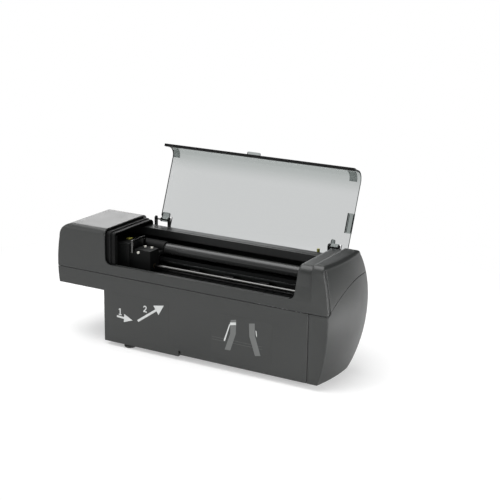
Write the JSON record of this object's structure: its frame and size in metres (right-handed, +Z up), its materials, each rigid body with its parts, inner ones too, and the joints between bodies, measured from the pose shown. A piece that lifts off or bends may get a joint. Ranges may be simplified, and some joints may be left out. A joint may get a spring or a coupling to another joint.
{
  "type": "id card printer",
  "caption": "Wide desktop card printer with an open see-through lid over its carriage bay, S-seamed right end, raised left overhang and round feet.",
  "frame": {"origin": "centre of the bounding box at rest, at the height of the feet's undersides", "axes": "+X to the right along the front, +Y from the front to the back, +Z up"},
  "size_m": [0.71, 0.2322, 0.4497],
  "materials": {
    "case_dark": "moulded anthracite, fine spark texture",
    "black_plastic": "moulded black, satin",
    "smoky_acrylic": "bent clear grey-tinted acrylic sheet, polished",
    "smoked_clip": "moulded smoke-tinted polycarbonate, polished",
    "bright_steel": "ground and polished steel",
    "zinc_sheet": "zinc-plated pressed sheet",
    "dark_tube": "drawn tube, black oxide and oil",
    "encoder_film": "printed clear film",
    "deck_grey": "satin grey stoved paint",
    "tab_yellow": "moulded yellow-green",
    "belt_rubber": "moulded neoprene",
    "white_nylon": "natural nylon",
    "bronze_bush": "sintered bronze, oiled",
    "cover_grey": "moulded dark grey",
    "roller_rubber": "ground EPDM",
    "board_green": "solder-masked glass-epoxy board",
    "foot_rubber": "moulded rubber, satin"
  },
  "bodies": {
    "casing": {"lower_case": "case_dark", "right_end_cap": "case_dark", "upper_cover": "case_dark", "back_cover": "case_dark", "bay_bezel": "black_plastic", "hinge_bracket_left": "black_plastic", "hinge_bracket_right": "black_plastic", "hinge_pins": "bright_steel", "chassis_floor": "zinc_sheet", "left_frame_plate": "zinc_sheet", "right_frame_plate": "zinc_sheet", "left_bulkhead": "zinc_sheet", "right_bay_liner": "black_plastic", "guide_rod": "bright_steel", "rear_guide_tube": "dark_tube", "encoder_strip": "encoder_film", "rear_deck": "deck_grey", "deck_peg": "tab_yellow", "drive_belt": "belt_rubber", "carriage_motor": "zinc_sheet", "motor_bracket": "zinc_sheet", "idler_bracket": "zinc_sheet", "platen": "black_plastic", "feed_motor": "zinc_sheet", "pinch_frame": "zinc_sheet", "capping_station": "black_plastic", "wiper_blade": "belt_rubber", "power_supply": "zinc_sheet", "control_board": "board_green", "connector_panel": "zinc_sheet", "power_inlet": "black_plastic", "switch_housing": "black_plastic", "data_ports": "bright_steel", "rubber_feet": "foot_rubber", "case_screws": "bright_steel"},
    "lid": {"lid_panel": "smoky_acrylic", "lid_edge_trim": "black_plastic", "lid_handle_tab": "smoked_clip", "lid_clip_left": "smoked_clip", "lid_clip_right": "smoked_clip", "lid_side_clip": "smoked_clip", "lid_arm_left": "smoked_clip", "lid_arm_right": "smoked_clip"},
    "carriage": {"carriage_body": "black_plastic", "carriage_bushes": "bronze_bush", "ink_cartridges": "cover_grey", "print_head": "black_plastic", "belt_clamp": "black_plastic", "latch_bar": "bright_steel", "guide_bosses": "white_nylon"},
    "cartridge_cover": {"cartridge_cover": "cover_grey", "cartridge_tab": "tab_yellow"},
    "drive_pulley": {"drive_pulley": "white_nylon"},
    "idler_pulley": {"idler_pulley": "white_nylon"},
    "feed_roller": {"feed_roller": "roller_rubber", "feed_gear": "white_nylon"},
    "motor_pinion": {"motor_pinion": "bronze_bush"},
    "pinch_rollers": {"pinch_rollers": "roller_rubber"},
    "power_switch": {"power_switch": "black_plastic"}
  },
  "joints": [
    {"name": "lid_hinge", "type": "hinge", "parent": "casing", "child": "lid", "pos_m": [0.05861, 0.05388, 0.267], "axis": [1, 0, 0], "range_deg": [0, 110.8]},
    {"name": "carriage_slide", "type": "slide", "parent": "casing", "child": "carriage", "axis": [1, 0, 0], "range_m": [-0.072, 0.378]},
    {"name": "cartridge_cover_hinge", "type": "hinge", "parent": "carriage", "child": "cartridge_cover", "pos_m": [-0.20489, -0.04212, 0.218], "axis": [-1, 0, 0], "range_deg": [0, 45]},
    {"name": "drive_pulley_spin", "type": "hinge", "parent": "casing", "child": "drive_pulley", "pos_m": [-0.31889, -0.02912, 0.192], "axis": [0, 1, 0], "continuous": true},
    {"name": "idler_pulley_spin", "type": "hinge", "parent": "casing", "child": "idler_pulley", "pos_m": [0.25711, -0.02912, 0.192], "axis": [0, 1, 0], "continuous": true},
    {"name": "feed_roller_spin", "type": "hinge", "parent": "casing", "child": "feed_roller", "pos_m": [0.04511, -0.01212, 0.1615], "axis": [1, 0, 0], "continuous": true},
    {"name": "motor_pinion_spin", "type": "hinge", "parent": "casing", "child": "motor_pinion", "pos_m": [0.28511, -0.01212, 0.13385], "axis": [1, 0, 0], "continuous": true},
    {"name": "pinch_roller_spin", "type": "hinge", "parent": "casing", "child": "pinch_rollers", "pos_m": [0.04511, -0.01212, 0.1778], "axis": [1, 0, 0], "continuous": true},
    {"name": "power_switch_rock", "type": "hinge", "parent": "casing", "child": "power_switch", "pos_m": [-0.10889, 0.05188, 0.086], "axis": [-1, 0, 0], "range_deg": [0, 16]}
  ],
  "couplings": [
    {"joint": "drive_pulley_spin", "follows": "carriage_slide", "rad_per_m": 120.48},
    {"joint": "idler_pulley_spin", "follows": "carriage_slide", "rad_per_m": 120.48},
    {"joint": "motor_pinion_spin", "follows": "feed_roller_spin", "ratio": -2.6667},
    {"joint": "pinch_roller_spin", "follows": "feed_roller_spin", "ratio": -1.6667}
  ]
}
